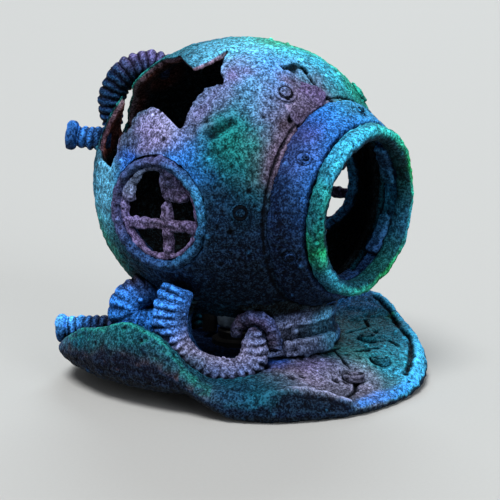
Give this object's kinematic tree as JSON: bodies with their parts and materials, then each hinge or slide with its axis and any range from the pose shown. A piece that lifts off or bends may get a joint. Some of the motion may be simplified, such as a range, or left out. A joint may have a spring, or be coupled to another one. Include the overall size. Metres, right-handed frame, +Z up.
{
  "type": "bubbling ornament",
  "caption": "Ruined diver's helmet aquarium ornament with a torn bonnet, open port and corrugated hoses; a swivelling air inlet feeds a lift-off air stone inside.",
  "frame": {"origin": "on the ground, under the middle of the whole ornament's box", "axes": "+Z up, the front port faces -Y, the torn opening and the cast hoses are on the -X side"},
  "size_m": [0.1171, 0.1185, 0.1101],
  "materials": {
    "bonnet_resin": "matt hand-painted cast resin, cyan and sea green with a dark wash in the pits",
    "strap_resin": "matt hand-painted cast resin, dusty violet",
    "flange_resin": "matt hand-painted cast resin, slate blue",
    "ring_resin": "matt hand-painted cast resin, verdigris with pale dry-brushing",
    "side_ring_resin": "matt hand-painted cast resin, pale blue",
    "grille_resin": "matt hand-painted cast resin, mauve grey",
    "neck_resin": "matt hand-painted cast resin, dark blue",
    "plate_resin": "matt hand-painted cast resin, teal with a mauve middle and a bright cyan lip",
    "arm_resin": "matt hand-painted cast resin, bright blue running into mauve",
    "hose_resin": "matt hand-painted cast resin, blue grey with dark ribs",
    "floor_resin": "bare dark cast resin",
    "holder_plastic": "black moulded plastic",
    "air_stone_mineral": "open-grained bonded mineral",
    "grommet_rubber": "soft black rubber",
    "inlet_plastic": "white moulded plastic",
    "airline_silicone": "black silicone tubing"
  },
  "bodies": {
    "ornament": {"bonnet": "bonnet_resin", "strap_plate": "strap_resin", "bonnet_boss_1": "bonnet_resin", "bonnet_boss_2": "bonnet_resin", "bonnet_boss_3": "bonnet_resin", "bonnet_boss_4": "bonnet_resin", "bonnet_boss_5": "bonnet_resin", "bonnet_boss_6": "bonnet_resin", "bonnet_boss_7": "bonnet_resin", "port_flange": "flange_resin", "flange_bolt_1": "flange_resin", "flange_bolt_2": "flange_resin", "flange_bolt_3": "flange_resin", "flange_bolt_4": "flange_resin", "flange_bolt_5": "flange_resin", "flange_bolt_6": "flange_resin", "port_ring": "ring_resin", "port_lug_1": "flange_resin", "port_lug_2": "flange_resin", "port_lug_3": "flange_resin", "port_lug_4": "flange_resin", "port_lug_5": "flange_resin", "port_lug_6": "flange_resin", "side_ring_right": "side_ring_resin", "side_grille_right": "grille_resin", "side_ring_left": "side_ring_resin", "side_grille_left": "grille_resin", "neck_collar": "neck_resin", "clamp_pad_front": "neck_resin", "clamp_pad_back": "neck_resin", "breastplate": "plate_resin", "plate_stud_1": "plate_resin", "plate_stud_2": "plate_resin", "plate_stud_3": "plate_resin", "plate_stud_4": "plate_resin", "plate_stud_5": "plate_resin", "plate_stud_6": "plate_resin", "hose_front_arm": "arm_resin", "hose_front_curl": "arm_resin", "hose_lower_coil": "hose_resin", "hose_lower_end": "hose_resin", "hose_lower_collar": "hose_resin", "hose_upper_loop": "hose_resin", "hose_upper_stub": "hose_resin", "hose_upper_collar": "hose_resin", "base_floor": "floor_resin", "stone_holder": "holder_plastic", "inlet_grommet": "grommet_rubber", "airline_tube": "airline_silicone"},
    "stone": {"air_stone": "air_stone_mineral"},
    "inlet": {"airline_inlet": "inlet_plastic"}
  },
  "joints": [
    {"name": "stone_lift", "type": "slide", "parent": "ornament", "child": "stone", "axis": [0, 0, 1], "range_m": [0, 0.015]},
    {"name": "inlet_swivel", "type": "hinge", "parent": "ornament", "child": "inlet", "pos_m": [-0.0005, 0.0397, 0.0225], "axis": [0, 1, 0], "range_deg": [-60, 45]}
  ]
}
